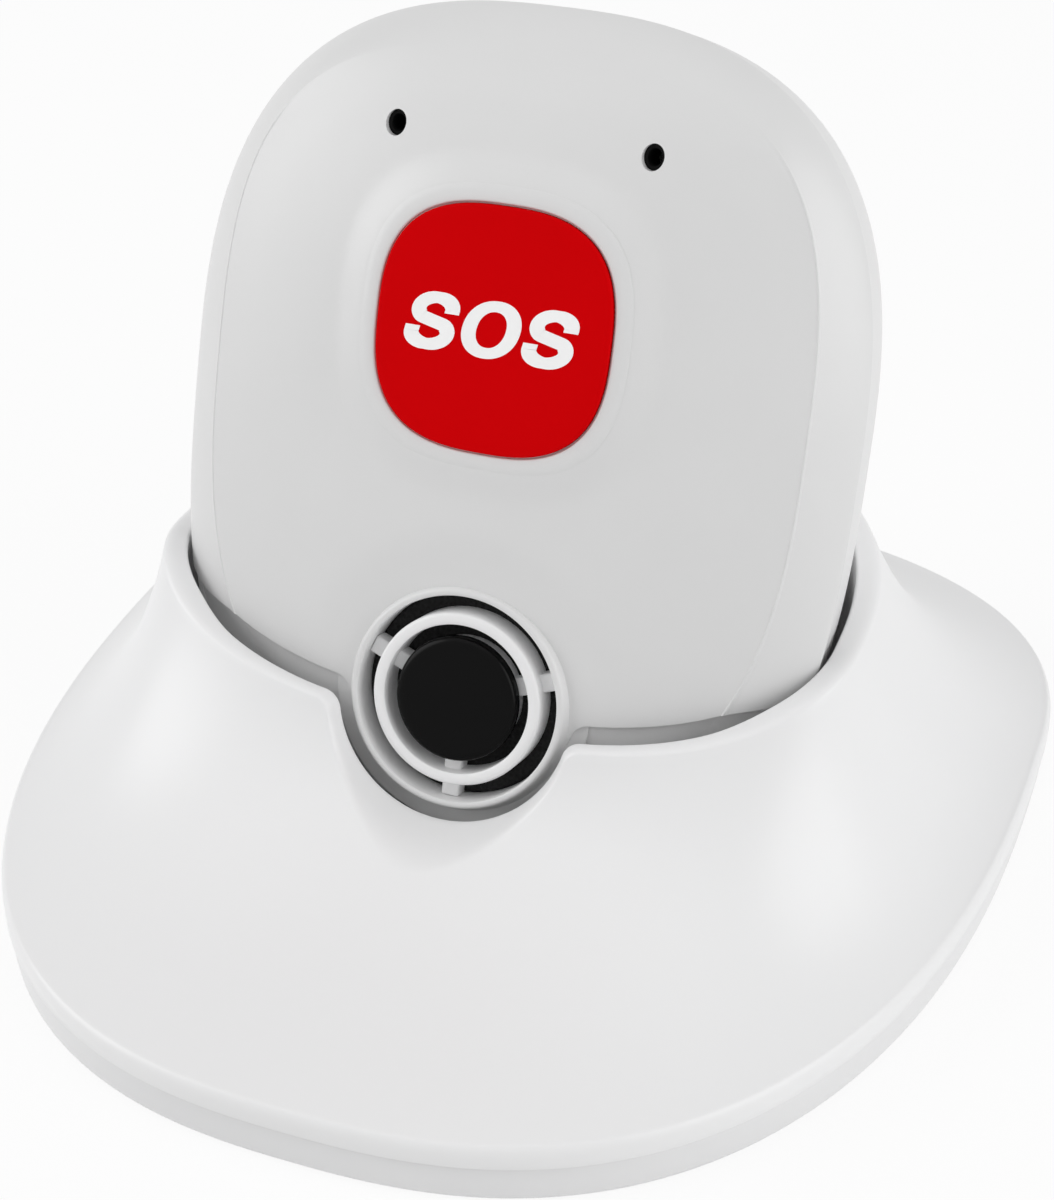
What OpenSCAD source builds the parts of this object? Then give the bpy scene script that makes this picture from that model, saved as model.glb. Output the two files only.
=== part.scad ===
// Wearable call pendant with a loudspeaker, standing in its charging cradle.
// Millimetres. The cradle stands on z = 0, the front faces -Y and +X is to the right seen from the front.
// The pendant is drawn in its own frame: origin at the centre of the loudspeaker grille on the front face,
// y into the pendant, z up along the face. The frame leans back in the cradle.

/* [Pendant] */
// Width of the pendant at its parting line
pendant_w = 49.6; // [47:0.2:52]
// Height of the outline above its widest line
pendant_rise = 28; // [27:0.5:30]
// Depth of the outline below its widest line
pendant_drop = 31; // [30.4:0.2:32]
// Distance from the grille centre down to the chin
chin = 11.3; // [11:0.1:11.6]
// Depth from the grille plane to the back
pendant_depth = 18.1; // [17.6:0.1:18.6]
// Bulge of the front face above its crease line
dome = 2.1; // [1.8:0.1:2.4]
// Width of the sloping rim outside the crease line
crease_inset = 2.2; // [2:0.1:2.6]
// Wall thickness of the two case halves
case_wall = 1.8; // [1.6:0.1:2]

/* [Button] */
// Width of the square call button
button_w = 16.8; // [15:0.2:17.6]
// Height of the button centre above the grille centre
button_z = 26.2; // [25.8:0.1:26.6]
// Free gap around the button
button_gap = 0.3; // [0.2:0.05:0.4]
// Stroke of the button
button_travel = 0.8; // [0.5:0.1:0.9]

/* [Grille and ports] */
// Outer radius of the white grille ring
ring_r = 6.25; // [6:0.05:6.4]
// Inner radius of the raised bezel
bezel_r = 7.45; // [7.3:0.05:7.6]
// Radius of the black centre disc
disc_r = 4.5; // [4.2:0.1:4.7]
// Radius of the two small ports
port_r = 0.8; // [0.7:0.05:1]

/* [Cradle] */
// Width of the cradle
base_w = 76.2; // [75:0.2:80]
// Length of the cradle in front of its widest line
base_front = 56.3; // [55:0.1:58]
// Length of the cradle behind its widest line
base_rear = 26.8; // [26:0.1:29]
// Lean of the pendant from upright, in degrees
lean = 19.2; // [18.6:0.2:20]
// Height of the grille centre above the table
grille_h = 17.4; // [17.3:0.1:18.2]
// Height of the collar rim at the sides
rim_side = 22; // [21.4:0.1:22.8]
// Width of the rounded collar lip
lip_w = 1.3; // [1.1:0.1:1.6]
// Wall thickness of the cradle shell
shell_wall = 1.9; // [1.7:0.1:2.1]
// Free gap between pendant and pocket floor
floor_gap = 0.3; // [0.2:0.05:0.4]
// Free gap between the widest line of the pendant and the pocket
pocket_gap = 0.7; // [0.5:0.1:0.9]

/* [Contacts] */
// Radius of the sprung contact pins
pin_r = 1; // [0.9:0.05:1.1]
// Stroke of the contact pins
pin_travel = 0.6; // [0.4:0.1:0.7]
// Radial running gap of the pins
pin_gap = 0.3; // [0.25:0.05:0.4]

/* [Hidden] */
$fn = 48;
outline_n = 56;
rise_e = 2.66;
drop_e = 3.1;
face_e = 2.07;
back_e = 2.3;
half_w = pendant_w / 2;
outline_z = pendant_drop - chin;
crease_y = dome * (1 - pow((half_w - chin) / (half_w - crease_inset), 2));
parting_y = 5.1;
back_y = pendant_depth;
rear_round = 10.5;
pebble_e = 3;
seam_step = 0.12;
port_x = 9.1;
port_z = outline_z + 19.2;
bezel_out_r = 8.15;
grille_y0 = -0.55;
notch_r = 8.9;
screw_at = [[-11.5, outline_z + 14.3], [11.5, outline_z + 14.3], [-13, 6], [13, 6]];
pad_x = 5;
pad_z = 3;
pad_r = 1.8;
pad_y = back_y + 0.05;
pin_tip_y = pad_y + 0.3;
board_y = 8.6;
board_t = 1;
screw_seat_y = 13.5;
battery_w = 24;
battery_h = 21.2;
battery_t = 5.4;
battery_z = outline_z - 10.3;
can_w = 16;
can_h = 9;
switch_w = 6.2;
can_z = button_z - switch_w - can_h;
base_mid_y = (base_front - base_rear) / 2;
grille_y = base_mid_y - 26.4;
base_e = 2.5;
seam_z = 3.2;
floor_z0 = 0.3;
floor_z1 = 2;
edge_z = 5;
lip_h = 0.45;
pocket_front_e = 2.8;
pocket_rear_e = 4.2;
pocket_mid = 7.5;
pocket_front = pocket_mid + 1.1;
pocket_rear = back_y + 0.95 - pocket_mid;
pocket_drop = (pendant_drop + floor_gap) / 0.97;
pocket_side = half_w + pocket_gap;
pocket_wall = 1.7;
pocket_floor = 1;
pocket_clear = 0.4;
rim_front = rim_side - 5.6;
rim_rear = rim_side + 7;
rim_side_t = (rim_side - grille_h + pocket_mid * sin(lean)) / cos(lean);
rim_kappa = (outline_z - rim_side_t) / pocket_drop;
pocket_rim_x = pocket_x(1);
wall_out_y = pocket_mid + pocket_rear + pocket_wall;
carrier_y1 = wall_out_y + 2.9 + pin_travel;

function spow(v, k) = sign(v) * pow(abs(v), k);

function mix(a, b, f) = a + (b - a) * f;

// Smaller of two heights, with the corner between them rounded over a span
function soft_min(a, b, span) = min(a, b) - pow(max(0, span - abs(a - b)), 2) / (4 * span);

// Outline of the pendant at a turn from the chin, drawn in by an inset
function pend_xz(a, d, low_e) =
    let (s = -cos(a), e = s >= 0 ? rise_e : low_e, h = s >= 0 ? pendant_rise : pendant_drop)
    [(half_w - d) * spow(sin(a), 2 / e), outline_z + (h - d) * spow(s, 2 / e)];

function pend_ring(d, y, low_e = drop_e) =
    [for (i = [0:outline_n - 1]) let (p = pend_xz(360 * i / outline_n, d, low_e)) [p[0], y, p[1]]];

// Squareness of the lower corners: most at the parting line, softer on the sloping rim and towards the back
function front_e(d) = mix(drop_e, face_e, min(1, d / crease_inset));

function rear_e(f) = mix(drop_e, back_e, min(1, rear_inset(f) / rear_round));

// Depth of the domed front face at an inset from the outline
function face_y(d) = crease_y - dome * (1 - pow((half_w - d) / (half_w - crease_inset), 2));

// Inset of the rear case, rounded like a pebble, at a fraction of its depth
function rear_inset(f) = rear_round * (1 - pow(1 - pow(min(1, max(0, f)), pebble_e), 1 / pebble_e));

function rear_fraction(y) = (y - parting_y) / (back_y - parting_y);

// Rounded square of the button, as a polygon in x and z
function button_xz(r) =
    [for (i = [0:47]) let (a = 7.5 * i) [r * spow(sin(a), 2 / 2.78), -r * spow(cos(a), 2 / 2.78)]];

// From the pendant's frame to the cradle's
function to_world(p) =
    [p[0], grille_y + p[1] * cos(lean) + p[2] * sin(lean), grille_h - p[1] * sin(lean) + p[2] * cos(lean)];

// Half width of the pocket at a fraction of its height
function pocket_x(v) = pocket_side * pow(1 - pow(mix(0.97, rim_kappa, v), drop_e), 1 / drop_e);

// Section of the pocket at a turn from the front, in x and y of the pendant's frame
function pocket_xy(a, v, o) =
    let (c = cos(a), e = c > 0 ? pocket_front_e : pocket_rear_e)
    [(pocket_x(v) + o) * spow(sin(a), 2 / e),
     pocket_mid - ((c > 0 ? pocket_front : pocket_rear) + o) * spow(c, 2 / e)];

function pocket_floor_z(y) = -chin + rear_inset(rear_fraction(y - 0.7)) - floor_gap;

// Height of the full rim along the pendant's face
function full_rim_t(a) =
    let (p = pocket_xy(a, 1, 0), c = cos(a),
         front = (rim_front - rim_side) * pow(max(0, c), 1.7), rear = (rim_rear - rim_side) * pow(max(0, -c), 1.2),
         z = rim_side + front + rear)
    (z - grille_h + p[1] * sin(lean)) / cos(lean);

// Height of the rim where the round notch for the grille bezel cuts it down
function rim_t(a) =
    let (x = abs(pocket_xy(a, 1, 0)[0]), m = notch_r * notch_r - x * x, t = full_rim_t(a))
    cos(a) > 0 ? soft_min(t, m > 0 ? -sqrt(m) : 3 * (x - notch_r), 4) : t;

// Turn angles of the columns: close together in the notch, even over the rest
notch_x = concat([for (k = [0:5]) notch_r * sin(18 * k)], [notch_r + 1]);
notch_turns = [for (x = notch_x) asin(pow(x / pocket_rim_x, pocket_front_e / 2))];
half_turns = concat(notch_turns, [for (k = [1:22]) mix(notch_turns[6], 180, k / 22)]);
turns = concat(half_turns, [for (i = [len(half_turns) - 2:-1:1]) 360 - half_turns[i]]);

// Ring of the pocket wall at a fraction of its height, at an offset, between two shifted ends
function pocket_ring(v, o, low, high) =
    [for (a = turns) let (p = pocket_xy(a, v, o), z = pocket_floor_z(pocket_xy(a, v, 0)[1]), t = rim_t(a))
        to_world([p[0], p[1], mix(z - low, t - min(high, 0.5 * (t - z)), v)])];

// Outline of the cradle's foot at a turn from the front, drawn in by an inset
function base_pt(a, d, z) =
    let (c = cos(a))
    [(base_w / 2 - d) * spow(sin(a), 2 / base_e),
     base_mid_y - ((c > 0 ? base_front : base_rear) - d) * spow(c, 2 / base_e), z];

function base_ring(d, z) = [for (a = turns) base_pt(a, d, z)];

// Sweep of the cradle's top from the full rim down to the edge of the foot
function sweep_ends(a) =
    let (p = pocket_xy(a, 1, lip_w), d = to_world([p[0], p[1], full_rim_t(a) - lip_h]),
         e = base_pt(a, 0.5, edge_z),
         h = [e[0] - d[0], e[1] - d[1], 0], v = [0, 0, d[2] - e[2]])
    [d, d + 0.26 * h - 0.52 * v, e - 0.42 * h + 0.14 * v, e];

function bezier(q, s) =
    pow(1 - s, 3) * q[0] + 3 * s * pow(1 - s, 2) * q[1] + 3 * s * s * (1 - s) * q[2] + pow(s, 3) * q[3];

function bezier_dir(q, s) =
    pow(1 - s, 2) * (q[1] - q[0]) + 2 * s * (1 - s) * (q[2] - q[1]) + s * s * (q[3] - q[2]);

// Height of a point along the pendant's face
function face_t(p) = (p[1] - grille_y) * sin(lean) + (p[2] - grille_h) * cos(lean);

// Place on the sweep where it has come down to a height, found by halving
function sweep_start(q, t, low = 0, high = 0.7, k = 14) =
    let (m = (low + high) / 2)
    k == 0 ? low
        : face_t(bezier(q, m)) > t ? sweep_start(q, t, m, high, k - 1) : sweep_start(q, t, low, m, k - 1);

// Point of the sweep between the lip and the foot, or of its underside at a depth below it
function sweep_pt(a, f, depth) =
    let (q = sweep_ends(a), s = mix(sweep_start(q, rim_t(a) - lip_h), 1, f),
         p = bezier(q, s), t = bezier_dir(q, s),
         h = norm([t[0], t[1]]), l = norm(t), u = [t[0], t[1]] / h)
    [p[0] + depth * u[0] * t[2] / l, p[1] + depth * u[1] * t[2] / l, p[2] - depth * h / l];

function sweep_ring(f, depth) = [for (a = turns) sweep_pt(a, f, depth)];

// Ring of the lip at a fraction of the way from the pocket to the sweep, raised by a height
function lip_ring(f, rise) =
    [for (a = turns) let (p = pocket_xy(a, 1, 0))
        mix(to_world([p[0], p[1], rim_t(a) - lip_h]), sweep_pt(a, 0, 0), f)
            + rise * [0, sin(lean), cos(lean)]];

// Closed skin over rings of equal length, closed across at both ends
module skin(rings) {
    n = len(rings[0]);
    last = (len(rings) - 1) * n;
    polyhedron(
        points = [for (r = rings) each r],
        faces = concat(
            [for (k = [0:len(rings) - 2]) for (i = [0:n - 1])
                let (a = k * n + i, b = k * n + (i + 1) % n, c = b + n, d = a + n)
                each [[a, b, c], [a, c, d]]],
            [for (i = [0:n / 2 - 1]) each i == 0 ? [[0, n - 1, 1]]
                : i == n / 2 - 1 ? [[i, n - i, i + 1]] : [[i, n - i, i + 1], [i + 1, n - i, n - i - 1]]],
            [for (i = [0:n / 2 - 1]) each i == 0 ? [[last, last + 1, last + n - 1]]
                : i == n / 2 - 1 ? [[last + i, last + i + 1, last + n - i]]
                : [[last + i, last + i + 1, last + n - i], [last + i + 1, last + n - i - 1, last + n - i]]]),
        convexity = 8);
}

module in_pendant() {
    translate([0, grille_y, grille_h])
        rotate([-lean, 0, 0])
            children();
}

// Round bar along y
module rod(r, y0, y1) {
    translate([0, y0, 0])
        rotate([-90, 0, 0])
            cylinder(r = r, h = y1 - y0);
}

module tube(r_out, r_in, y0, y1) {
    difference() {
        rod(r_out, y0, y1);
        rod(r_in, y0 - 1, y1 + 1);
    }
}

// Turned shape about y: a profile of radius and depth
module turned(profile) {
    rotate([-90, 0, 0])
        rotate_extrude()
            polygon(profile);
}

module at_xz(x, z) {
    translate([x, 0, z])
        children();
}

// Slab of a flat outline in x and z, between two depths
module slab(points, y0, y1) {
    translate([0, y1, 0])
        rotate([90, 0, 0])
            linear_extrude(y1 - y0)
                polygon(points);
}

module block(x0, x1, y0, y1, z0, z1) {
    translate([x0, y0, z0])
        cube([x1 - x0, y1 - y0, z1 - z0]);
}

// Cradle

module cradle_top_shell() {
    color("white")
        difference() {
            union() {
                skin(concat(
                    [for (v = [0, 0.12, 0.3, 0.55, 0.8]) pocket_ring(v, 0, 0, lip_h)],
                    [for (k = [[0, 0], [0.15, 0.7], [0.45, 1], [0.8, 0.7]]) lip_ring(k[0], k[1] * lip_h)],
                    [for (f = [0, 0.1, 0.22, 0.36, 0.52, 0.7, 0.86, 1]) sweep_ring(f, 0)],
                    [base_ring(0, seam_z + 0.8), base_ring(0.15, seam_z), base_ring(shell_wall + 0.25, seam_z)],
                    [for (f = [0.8, 0.65, 0.5, 0.35]) sweep_ring(f, shell_wall)],
                    [for (v = [1, 0.7, 0.4, 0.15, 0]) pocket_ring(v, pocket_wall, pocket_floor, 4.2)]));
                shell_posts();
            }
            in_pendant()
                for (x = [-pad_x, pad_x])
                    at_xz(x, pad_z)
                        rod(pin_r + pin_gap, back_y, wall_out_y + 2);
            shell_post_bores();
        }
}

post_at = [for (k = [[62, 0.62], [298, 0.62], [122, 0.58], [238, 0.58]]) sweep_pt(k[0], k[1], 1.6)];

module shell_posts() {
    for (p = post_at)
        translate([p[0], p[1], floor_z1])
            cylinder(r = 2, h = p[2] - floor_z1);
}

module shell_post_bores() {
    for (p = post_at)
        translate([p[0], p[1], floor_z1 - 1])
            cylinder(r = 0.95, h = 4.5);
}

well_w = 11;
well_y = base_mid_y + 3.2;
jack_y0 = well_y - 9.3;
jack_z = floor_z1 + 0.1;
contact_low_z = to_world([0, carrier_y1 + 0.8, pad_z - 2.6])[2];
jack_h = min(5, contact_low_z - 1.6 - jack_z);
jack_w = 7;
jack_l = 9.2;
board_z = jack_z + jack_h;
charger_w = 30;
foot_r = 3.9;

// Room in the plate for the underside of the pocket
module pocket_room() {
    skin([for (v = [0.6, 0.3, 0.1, 0])
        pocket_ring(v, pocket_wall + pocket_clear, pocket_floor + pocket_clear, 4.2)]);
}

module cradle_base_plate() {
    color("gainsboro")
        difference() {
            union() {
                skin([base_ring(shell_wall + 0.5, floor_z1), base_ring(shell_wall + 0.25, seam_z),
                    base_ring(0.3, seam_z), base_ring(0.25, floor_z0 + 0.3), base_ring(0.5, floor_z0)]);
                for (x = [-1, 1])
                    translate([x * (well_w / 2 + 0.6) - 0.6, well_y, floor_z0])
                        cube([1.2, 9, 3.4]);
                for (x = [-12, 12])
                    translate([x, jack_y0 + 4.4, floor_z0])
                        cylinder(r = 2, h = board_z - floor_z0);
            }
            translate([-well_w / 2, well_y, -1])
                cube([well_w, base_rear, 8]);
            pocket_room();
            for (p = post_at)
                translate([p[0], p[1], 0]) {
                    cylinder(r = 1.2, h = 5);
                    cylinder(r = 2.3, h = floor_z0 + 0.8);
                }
            for (p = feet_at)
                translate([p[0], p[1], 0])
                    cylinder(r = foot_r + 0.1, h = floor_z0 + 0.5);
        }
}

feet_at = [for (k = [[28, 9], [332, 9], [150, 9], [210, 9]]) base_pt(k[0], k[1], 0)];

module rubber_feet() {
    color("dimgray")
        for (p = feet_at)
            translate([p[0], p[1], 0])
                cylinder(r = foot_r, h = floor_z0 + 0.5);
}

module base_screws() {
    color("silver")
        for (p = post_at)
            translate([p[0], p[1], 0]) {
                translate([0, 0, floor_z0 + 0.1])
                    cylinder(r = 2.1, h = 0.7);
                translate([0, 0, floor_z0 + 0.8])
                    cylinder(r = 0.9, h = 3.6);
            }
}

module charger_board() {
    color("darkgreen")
        difference() {
            translate([-charger_w / 2, jack_y0 - 0.4, board_z])
                cube([charger_w, jack_l + 0.4, 1]);
            for (x = [-12, 12])
                translate([x, jack_y0 + 4.4, 0])
                    cylinder(r = 1.1, h = 12);
        }
}

module dc_jack_housing() {
    color("black")
        difference() {
            translate([-jack_w / 2, jack_y0, jack_z])
                cube([jack_w, jack_l, jack_h]);
            translate([0, jack_y0 + 1.2, jack_z + jack_h / 2])
                rod(1.75, 0, 10);
        }
}

module dc_jack_pin() {
    color("silver")
        translate([0, jack_y0 + 1.2, jack_z + jack_h / 2])
            rod(0.65, 0, jack_l - 2);
}

module contact_carrier() {
    color("white")
        in_pendant()
            difference() {
                block(-pad_x - 3, pad_x + 3, wall_out_y, carrier_y1, pad_z - 2.6, pad_z + 2.4);
                for (x = [-pad_x, pad_x])
                    at_xz(x, pad_z)
                        rod(1.9, wall_out_y - 1, carrier_y1 + 1);
            }
}

module contact_board() {
    color("darkgreen")
        in_pendant()
            difference() {
                block(-pad_x - 3, pad_x + 3, carrier_y1, carrier_y1 + 0.8, pad_z - 2.6, pad_z + 2.4);
                for (x = [-pad_x, pad_x])
                    at_xz(x, pad_z)
                        rod(0.6 + pin_gap, carrier_y1 - 1, carrier_y1 + 2);
            }
}

flange_y = wall_out_y + 0.3;

module contact_pin() {
    turned([[0, pin_tip_y], [0.55, pin_tip_y + 0.1], [pin_r, pin_tip_y + 0.6], [pin_r, flange_y],
        [1.6, flange_y], [1.6, flange_y + 0.7], [0.6, flange_y + 0.7], [0.6, carrier_y1 + 0.1], [0, carrier_y1 + 0.1]]);
}

module contact_pin_left() {
    color("gold")
        in_pendant()
            at_xz(-pad_x, pad_z)
                contact_pin();
}

module contact_pin_right() {
    color("gold")
        in_pendant()
            at_xz(pad_x, pad_z)
                contact_pin();
}

// Coil of round wire between two depths
function coil_ring(k, n, y0, y1) =
    let (a = 360 * 3 * k / n, y = mix(y0, y1, k / n))
    [for (j = [0:5]) let (r = 1.25 + 0.15 * cos(60 * j))
        [r * cos(a), y - 0.15 * sin(60 * j), r * sin(a)]];

module contact_springs() {
    color("silver")
        in_pendant()
            for (x = [-pad_x, pad_x])
                at_xz(x, pad_z)
                    skin([for (k = [0:42]) coil_ring(k, 42, flange_y + 0.9 + pin_travel, carrier_y1 - 0.15)]);
}

// Pendant cases

module front_skin() {
    skin(concat(
        [for (d = [half_w - 1.5, 18.5, 13.5, 9, 6, 4, crease_inset]) pend_ring(d, face_y(d), face_e)],
        [for (f = [0.12, 0.45, 1]) let (d = crease_inset * pow(1 - f, 1.25))
            pend_ring(d, mix(crease_y, parting_y, f), front_e(d))],
        [for (d = [0, 0.5 * crease_inset])
            pend_ring(case_wall + d, mix(parting_y, crease_y, 0.8 * d / crease_inset), front_e(d))],
        [for (d = [crease_inset + case_wall, 9, 14, 19, half_w - 1.5])
            pend_ring(d, face_y(d) + case_wall, face_e)]));
}

// Ring of the button's outline, widened by an offset, at a depth
function button_ring(o, y) = [for (p = button_xz(button_w / 2 + o)) [p[0], y, p[1]]];

// Soft swell of the face up to the edge of the button
module button_surround() {
    skin([button_ring(0.1, -1.3), button_ring(0.8, -1.25), button_ring(1.9, -0.95), button_ring(3.2, -0.3),
        button_ring(4.6, 0.9)]);
}

module pendant_front_case() {
    color("whitesmoke")
        in_pendant()
            difference() {
                union() {
                    front_skin();
                    turned([[bezel_r - 0.5, grille_y0], [bezel_out_r, grille_y0], [bezel_out_r + 0.25, 0.6],
                        [bezel_out_r + 0.25, 2.2], [bezel_r - 0.5, 2.2]]);
                    tube(bezel_out_r + 0.7, bezel_r, 1.7, 3.9);
                    at_xz(0, button_z)
                        button_surround();
                    for (p = screw_at)
                        at_xz(p[0], p[1])
                            rod(2.1, 1.6, board_y);
                }
                rod(bezel_r, -5, 3.9);
                at_xz(0, button_z)
                    slab(button_xz(button_w / 2 + button_gap), -5, 5);
                for (x = [-port_x, port_x])
                    at_xz(x, port_z)
                        rod(port_r, -5, 5);
                for (p = screw_at)
                    at_xz(p[0], p[1])
                        rod(0.95, 4, board_y + 1);
            }
}

module pendant_rear_case() {
    color("whitesmoke")
        in_pendant()
            difference() {
                union() {
                    skin(concat(
                        [for (f = [1, 0.9, 0.75, 0.55, 0.3, 0])
                            pend_ring(case_wall + rear_inset(f), mix(parting_y, back_y - case_wall, f), rear_e(f))],
                        [for (f = [0, 0.15, 0.35, 0.55, 0.72, 0.84, 0.93, 0.98, 1])
                            pend_ring(seam_step + rear_inset(f), mix(parting_y, back_y, f), rear_e(f))]));
                    for (p = screw_at)
                        at_xz(p[0], p[1])
                            rod(3, board_y + board_t, back_y - 1);
                }
                seal_ring(parting_y - 1, parting_y + 0.6);
                for (p = screw_at)
                    at_xz(p[0], p[1]) {
                        rod(1.2, 2, back_y);
                        rod(2.1, screw_seat_y, back_y + 2);
                    }
                for (x = [-pad_x, pad_x])
                    at_xz(x, pad_z) {
                        rod(pad_r, back_y - 0.6, back_y + 1);
                        rod(0.8, 10, back_y);
                    }
            }
}

function pend_outline(d) = [for (p = pend_ring(d, 0)) [p[0], p[2]]];

// Band inside the outline, between two depths
module seal_ring(y0, y1) {
    difference() {
        slab(pend_outline(0.75), y0, y1);
        slab(pend_outline(1.45), y0 - 1, y1 + 1);
    }
}

// Sealing cord round the parting plane
module case_seal() {
    color("dimgray")
        in_pendant()
            seal_ring(parting_y, parting_y + 0.6);
}

module case_screws() {
    color("silver")
        in_pendant()
            for (p = screw_at)
                at_xz(p[0], p[1]) {
                    rod(1.8, screw_seat_y, screw_seat_y + 1.3);
                    rod(0.9, 4.6, screw_seat_y);
                }
}

// Call button and switch

button_top = -1.65;
flange_top = 2;
post_end = 4.5;

module sos_button() {
    color("red")
        in_pendant()
            at_xz(0, button_z) {
                skin([button_ring(-0.9, button_top), button_ring(-0.25, button_top + 0.08),
                    button_ring(0, button_top + 0.4), button_ring(0, flange_top + 0.5)]);
                slab(button_xz(button_w / 2 + 1.2), flange_top, flange_top + 0.9);
                rod(2, flange_top + 0.9, post_end);
            }
}

module switch_housing() {
    color("dimgray")
        in_pendant()
            at_xz(0, button_z)
                difference() {
                    block(-switch_w / 2, switch_w / 2, board_y - 3.1, board_y, -switch_w / 2, switch_w / 2);
                    rod(2, 0, board_y - 0.4);
                }
}

module switch_plunger() {
    color("black")
        in_pendant()
            at_xz(0, button_z)
                rod(1.7, post_end + 0.05, board_y - 0.4 - button_travel - 0.3);
}

// Inside the pendant

module pendant_board() {
    color("darkgreen")
        in_pendant()
            difference() {
                slab(pend_outline(3.4), board_y, board_y + board_t);
                for (p = screw_at)
                    at_xz(p[0], p[1])
                        rod(1.2, 0, 20);
            }
}

module shield_can() {
    color("silver")
        in_pendant()
            block(-can_w / 2, can_w / 2, board_y - 2.2, board_y, can_z, can_z + can_h);
}

module battery_cell() {
    color("slateblue")
        in_pendant()
            block(-battery_w / 2, battery_w / 2, board_y + board_t, board_y + board_t + battery_t,
                battery_z, battery_z + battery_h);
}

module speaker_basket() {
    color("dimgray")
        in_pendant()
            turned([[bezel_r - 0.75, 2.2], [bezel_r - 0.15, 2.2], [bezel_r - 0.15, 3.9], [8.1, 3.9], [8.1, 4.6],
                [6.6, 4.6], [5.4, 7.4], [3, 7.4], [3, 6.9], [4.9, 6.9]]);
}

module speaker_cone() {
    color("black")
        in_pendant()
            turned([[0, 4.2], [1.8, 4.6], [2.2, 5.6], [5.95, 3.8], [5.95, 4], [2.4, 6], [0, 6]]);
}

module speaker_magnet() {
    color("silver")
        in_pendant()
            rod(4.4, 7.4, board_y);
}

module speaker_mesh() {
    color("black")
        in_pendant()
            rod(bezel_r - 0.1, 1.9, 2.2);
}

// Grille

module grille_ring() {
    color("white")
        in_pendant() {
            turned([[0.861 * ring_r, grille_y0 + 0.1], [0.89 * ring_r, grille_y0], [0.975 * ring_r, grille_y0],
                [ring_r, grille_y0 + 0.15], [ring_r, 1.9], [0.861 * ring_r, 1.9]]);
            rod(disc_r - 0.3, 0.35, 1.9);
            for (a = [20, 160, 270])
                rotate([0, -a, 0])
                    block(disc_r - 0.6, bezel_r - 0.03, 0.5, 1.9, -0.65, 0.65);
        }
}

module grille_disc() {
    color("black")
        in_pendant()
            turned([[0, grille_y0 - 0.25], [disc_r - 0.5, grille_y0 - 0.1], [disc_r, grille_y0 + 0.25],
                [disc_r, 0.35], [0, 0.35]]);
}

// Ports

module port_sleeves() {
    color("black")
        in_pendant()
            for (x = [-port_x, port_x])
                at_xz(x, port_z)
                    tube(port_r, 0.45, 0.95, 3.4);
}

module microphone_boot() {
    color("dimgray")
        in_pendant()
            at_xz(-port_x, port_z)
                difference() {
                    rod(2.3, 3.4, board_y);
                    rod(2, 3.9, 6);
                    rod(0.45, 3, 5);
                }
}

module microphone_capsule() {
    color("silver")
        in_pendant()
            at_xz(-port_x, port_z)
                rod(2, 3.9, 6);
}

module indicator_lamp() {
    color("lightgray")
        in_pendant()
            at_xz(port_x, port_z) {
                rod(1.5, 3.4, board_y);
                rod(2, board_y - 1.2, board_y);
            }
}

module pendant_contacts() {
    color("gold")
        in_pendant()
            for (x = [-pad_x, pad_x])
                at_xz(x, pad_z) {
                    rod(pad_r, back_y - 0.6, pad_y);
                    rod(0.8, board_y + board_t, back_y - 0.6);
                }
}

cradle_top_shell();
cradle_base_plate();
rubber_feet();
base_screws();
charger_board();
dc_jack_housing();
dc_jack_pin();
contact_carrier();
contact_board();
contact_springs();
contact_pin_left();
contact_pin_right();
pendant_front_case();
pendant_rear_case();
case_seal();
case_screws();
sos_button();
switch_housing();
switch_plunger();
pendant_board();
shield_can();
battery_cell();
speaker_basket();
speaker_cone();
speaker_magnet();
speaker_mesh();
grille_ring();
grille_disc();
port_sleeves();
microphone_boot();
microphone_capsule();
indicator_lamp();
pendant_contacts();
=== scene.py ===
"""Call pendant in its charging cradle: smooth shells, call button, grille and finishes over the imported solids."""
import math

import bmesh
import bpy
from mathutils import Matrix, Vector


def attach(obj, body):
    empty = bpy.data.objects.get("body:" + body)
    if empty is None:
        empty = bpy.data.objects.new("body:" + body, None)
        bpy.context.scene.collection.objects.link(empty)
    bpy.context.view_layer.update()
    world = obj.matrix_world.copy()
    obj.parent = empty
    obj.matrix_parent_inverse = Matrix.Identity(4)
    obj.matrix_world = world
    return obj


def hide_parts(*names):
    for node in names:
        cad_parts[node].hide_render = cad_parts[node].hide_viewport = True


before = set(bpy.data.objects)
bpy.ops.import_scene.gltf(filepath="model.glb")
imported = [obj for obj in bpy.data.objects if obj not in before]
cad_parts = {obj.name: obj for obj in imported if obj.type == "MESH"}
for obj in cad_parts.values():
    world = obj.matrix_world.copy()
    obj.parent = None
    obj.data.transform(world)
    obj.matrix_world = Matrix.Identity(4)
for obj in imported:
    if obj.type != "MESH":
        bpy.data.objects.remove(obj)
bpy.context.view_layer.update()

MM = 0.001

# Sizes in millimetres. Most are repeated from the part's source; the others shape what only this script draws.
HALF_W = 24.8
PENDANT_RISE = 28
PENDANT_DROP = 31
CHIN = 11.3
OUTLINE_Z = PENDANT_DROP - CHIN
DOME = 2.1
CREASE = 3.15
CRISP_W = 0.1
MELTED_W = 2.2
BEAD = 0.055
DOME_R = 22.6
ROLL_W = 8.5
ROLL_DEPTH = 0.65
CASE_WALL = 1.8
STEP_IN = 0.35
RISE_E = 2.66
DROP_E = 3.1
FACE_RISE_E = 3.2
FACE_E = 2.5
BACK_E = 2.3
DOME_EDGE = DOME * (1 - ((HALF_W - CHIN) / DOME_R) ** 2)
PARTING_Y = 5.1
BACK_Y = 18.1
REAR_ROUND = 10.5
SEAM_STEP = 0.12
BUTTON_W = 16.8
BUTTON_Z = 26.2
BUTTON_E = 2.78
BUTTON_TOP = -1.65
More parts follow.
